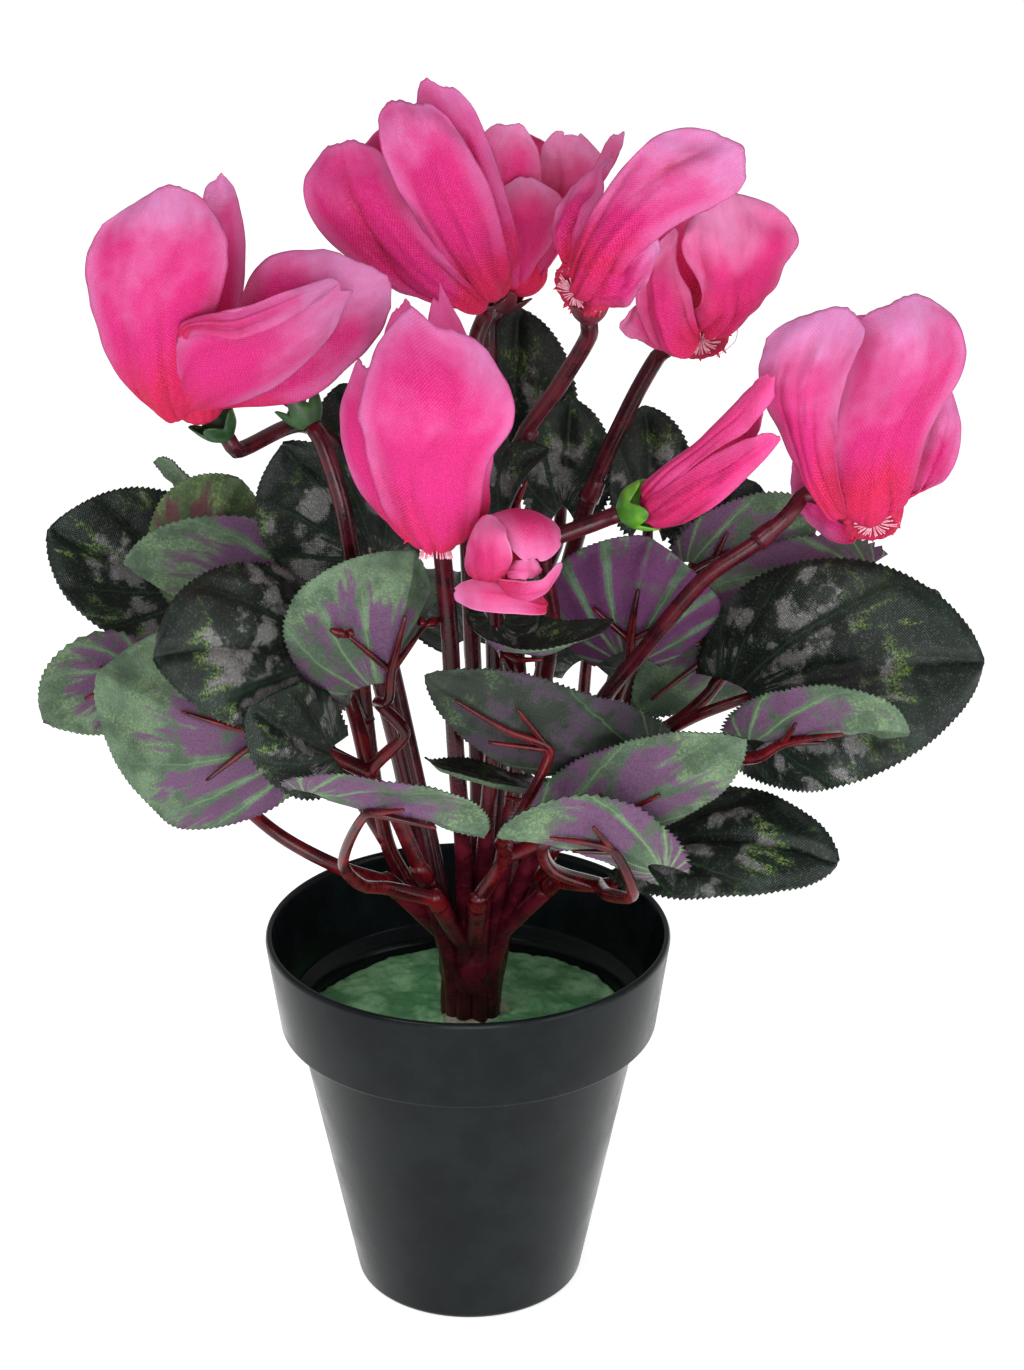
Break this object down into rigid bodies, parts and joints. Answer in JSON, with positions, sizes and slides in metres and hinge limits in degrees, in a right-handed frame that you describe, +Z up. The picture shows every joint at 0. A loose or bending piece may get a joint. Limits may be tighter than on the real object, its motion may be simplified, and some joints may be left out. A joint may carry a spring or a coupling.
{
  "type": "potted cyclamen",
  "caption": "Artificial cyclamen bush with pink fabric flowers and marbled leaves on plastic stems, set in the foam of a dark tapered pot",
  "frame": {"origin": "middle of the pot's underside, on the surface it stands on", "axes": "+Z points up along the pot's axis and -Y points to the front, from where the big marbled leaf is on the right (+X)"},
  "size_m": [0.2694, 0.2039, 0.3677],
  "materials": {
    "pot_plastic": "satin gloss moulded plastic",
    "foam": "matt cut foam",
    "stem_plastic": "gloss moulded plastic",
    "spray_plastic": "gloss moulded plastic",
    "leaf_fabric": "printed and pressed fabric with a pinked edge",
    "petal_fabric": "dyed and pressed woven fabric",
    "calyx_plastic": "satin moulded plastic",
    "thread": "matt thread"
  },
  "bodies": {
    "root": {"pot": "pot_plastic", "foam_filler": "foam", "stem_bush": "stem_plastic", "spray_left_low": "spray_plastic", "spray_left": "spray_plastic", "spray_front_left": "spray_plastic", "spray_front": "spray_plastic", "spray_right_low": "spray_plastic", "spray_right": "spray_plastic", "spray_back_right": "spray_plastic", "spray_back": "spray_plastic", "spray_back_left": "spray_plastic", "leaf_01": "leaf_fabric", "leaf_02": "leaf_fabric", "leaf_03": "leaf_fabric", "leaf_04": "leaf_fabric", "leaf_05": "leaf_fabric", "leaf_06": "leaf_fabric", "leaf_07": "leaf_fabric", "leaf_08": "leaf_fabric", "leaf_09": "leaf_fabric", "leaf_10": "leaf_fabric", "leaf_11": "leaf_fabric", "leaf_12": "leaf_fabric", "leaf_13": "leaf_fabric", "leaf_14": "leaf_fabric", "leaf_15": "leaf_fabric", "leaf_16": "leaf_fabric", "leaf_17": "leaf_fabric", "leaf_18": "leaf_fabric", "leaf_19": "leaf_fabric", "leaf_20": "leaf_fabric", "leaf_21": "leaf_fabric", "leaf_22": "leaf_fabric", "leaf_23": "leaf_fabric", "leaf_24": "leaf_fabric", "leaf_25": "leaf_fabric", "leaf_26": "leaf_fabric", "leaf_27": "leaf_fabric", "leaf_28": "leaf_fabric", "leaf_29": "leaf_fabric", "leaf_30": "leaf_fabric", "leaf_31": "leaf_fabric", "bloom_a": "petal_fabric", "bloom_b": "petal_fabric", "bloom_c": "petal_fabric", "bloom_d": "petal_fabric", "bloom_e": "petal_fabric", "bloom_f": "petal_fabric", "bloom_g": "petal_fabric", "bud_h": "petal_fabric", "bud_i": "petal_fabric", "bud_j": "petal_fabric", "bloom_a_calyx": "calyx_plastic", "bud_i_calyx": "calyx_plastic", "bud_j_calyx": "calyx_plastic", "bloom_d_threads": "thread", "bloom_e_threads": "thread", "bloom_f_threads": "thread", "bloom_g_threads": "thread"}
  },
  "joints": []
}
